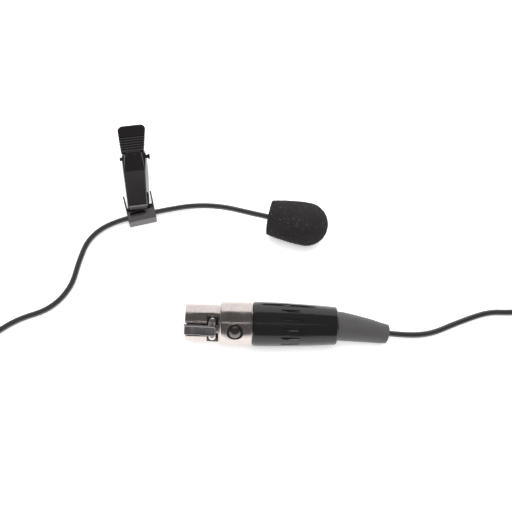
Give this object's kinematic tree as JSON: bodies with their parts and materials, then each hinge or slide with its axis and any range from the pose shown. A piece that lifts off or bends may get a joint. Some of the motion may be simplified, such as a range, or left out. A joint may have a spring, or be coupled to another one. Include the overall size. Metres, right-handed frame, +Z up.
{
  "type": "lavalier microphone",
  "caption": "Clip-on lavalier microphone: capsule under a foam windscreen, sprung clip with a swivelling cord holder, and a thin cord to a small latching plug.",
  "frame": {"origin": "on the surface that the microphone lies on, under the middle of the box round the clip and the windscreen", "axes": "+Z up; +X from the clip towards the windscreen; +Y towards the clip's thumb pad"},
  "size_m": [0.1626, 0.112, 0.0118],
  "materials": {
    "foam": "open-cell acoustic foam",
    "capsule_metal": "matte black paint on brass",
    "mesh_steel": "woven wire",
    "felt": "felt",
    "can_aluminium": "drawn, bright",
    "board": "glass-fibre board",
    "rubber_black": "matte",
    "copper_lead": "insulated wire",
    "clip_plastic": "moulded, semi-gloss black",
    "holder_plastic": "moulded, satin dark grey",
    "pin_steel": "blackened",
    "spring_steel": "hard-drawn wire",
    "cord_jacket": "smooth extruded jacket, semi-gloss",
    "tie_fabric": "hook-and-loop tape",
    "nickel": "satin nickel plate",
    "latch_nickel": "bright nickel plate",
    "button_chrome": "dark chrome",
    "insert_plastic": "moulded insulator",
    "contact_gold": "gold plate",
    "sleeve_plastic": "polished black",
    "boot_rubber": "matte dark grey",
    "clamp_steel": "stamped",
    "clear_tube": "insulating sleeve"
  },
  "bodies": {
    "microphone": {"capsule_housing": "capsule_metal", "capsule_grille": "capsule_metal", "grille_mesh": "mesh_steel", "dust_felt": "felt", "electret_can": "can_aluminium", "element_board": "board", "capsule_gasket": "rubber_black", "capsule_leads": "copper_lead", "rear_bush": "rubber_black", "cable_holder": "holder_plastic", "holder_rivet": "pin_steel", "cord_run": "cord_jacket", "cord_tail": "cord_jacket", "cord_coil": "cord_jacket", "coil_tie": "tie_fabric", "plug_shell": "nickel", "plug_insert": "insert_plastic", "contact_1": "contact_gold", "contact_2": "contact_gold", "contact_3": "contact_gold", "plug_sleeve": "sleeve_plastic", "plug_boot": "boot_rubber", "cord_clamp": "clamp_steel", "insulating_tube": "clear_tube", "plug_leads": "copper_lead"},
    "windscreen": {"windscreen_foam": "foam"},
    "clip": {"rear_lever": "clip_plastic", "hinge_pin": "pin_steel", "clip_spring": "spring_steel"},
    "clip_lever": {"front_lever": "clip_plastic"},
    "latch": {"latch_leaf": "latch_nickel", "latch_button": "button_chrome"}
  },
  "joints": [
    {"name": "windscreen_pull", "type": "slide", "parent": "microphone", "child": "windscreen", "axis": [0.9763, -0.2164, 0], "range_m": [0, 0.016]},
    {"name": "holder_swivel", "type": "hinge", "parent": "microphone", "child": "clip", "pos_m": [-0.02245, -0.00285, 0], "axis": [0, 0, 1], "range_deg": [0, 15]},
    {"name": "clip_open", "type": "hinge", "parent": "clip", "child": "clip_lever", "pos_m": [-0.0243, 0.01031, 0.00381], "axis": [-0.9903, -0.1392, 0], "range_deg": [0, 25], "stiffness_Nm_per_rad": 0.03, "springref_deg": -34.38, "deforming": ["clip_spring"]},
    {"name": "latch_press", "type": "hinge", "parent": "microphone", "child": "latch", "pos_m": [-0.0074, -0.04518, 0.00909], "axis": [0.0392, 0.6425, 0.7653], "range_deg": [0, 3], "stiffness_Nm_per_rad": 0.5, "springref_deg": -1.15}
  ]
}
